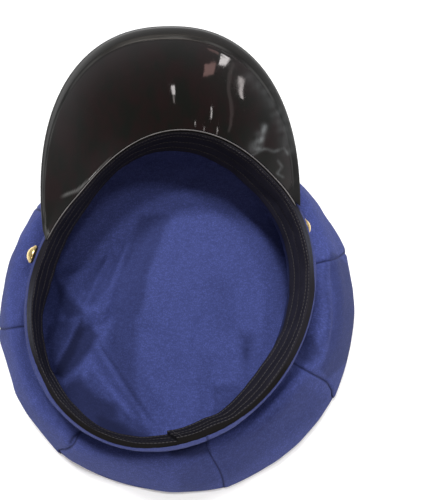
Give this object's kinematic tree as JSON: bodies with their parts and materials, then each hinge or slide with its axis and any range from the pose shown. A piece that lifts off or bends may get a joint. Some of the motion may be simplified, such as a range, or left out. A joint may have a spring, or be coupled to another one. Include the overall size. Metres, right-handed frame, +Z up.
{
  "type": "peaked cap",
  "caption": "Soft cloth cap with a wide round crown, an upright band, a leatherlike sweatband, a glossy moulded peak and a metal button at each end of the peak, lying upside down.",
  "frame": {"origin": "middle of the crown top's underside, on the floor that the upturned cap lies on", "axes": "+Z up out of the head opening, +Y towards the peak, +X to the right as seen from above and behind"},
  "size_m": [0.2522, 0.2778, 0.1185],
  "materials": {
    "crown_cloth": "plain woven cloth, blue",
    "band_cloth": "plain woven cloth, blue",
    "sweatband_vinyl": "black, stitched in rows",
    "peak_plastic": "polished black",
    "button_brass": "polished, plain"
  },
  "bodies": {
    "root": {"crown_top": "crown_cloth", "crown_panel_1": "crown_cloth", "crown_panel_2": "crown_cloth", "crown_panel_3": "crown_cloth", "crown_panel_4": "crown_cloth", "crown_panel_5": "crown_cloth", "crown_panel_6": "crown_cloth", "crown_panel_7": "crown_cloth", "crown_panel_8": "crown_cloth", "band": "band_cloth", "sweatband": "sweatband_vinyl", "peak": "peak_plastic", "button_right": "button_brass", "button_left": "button_brass"}
  },
  "joints": []
}
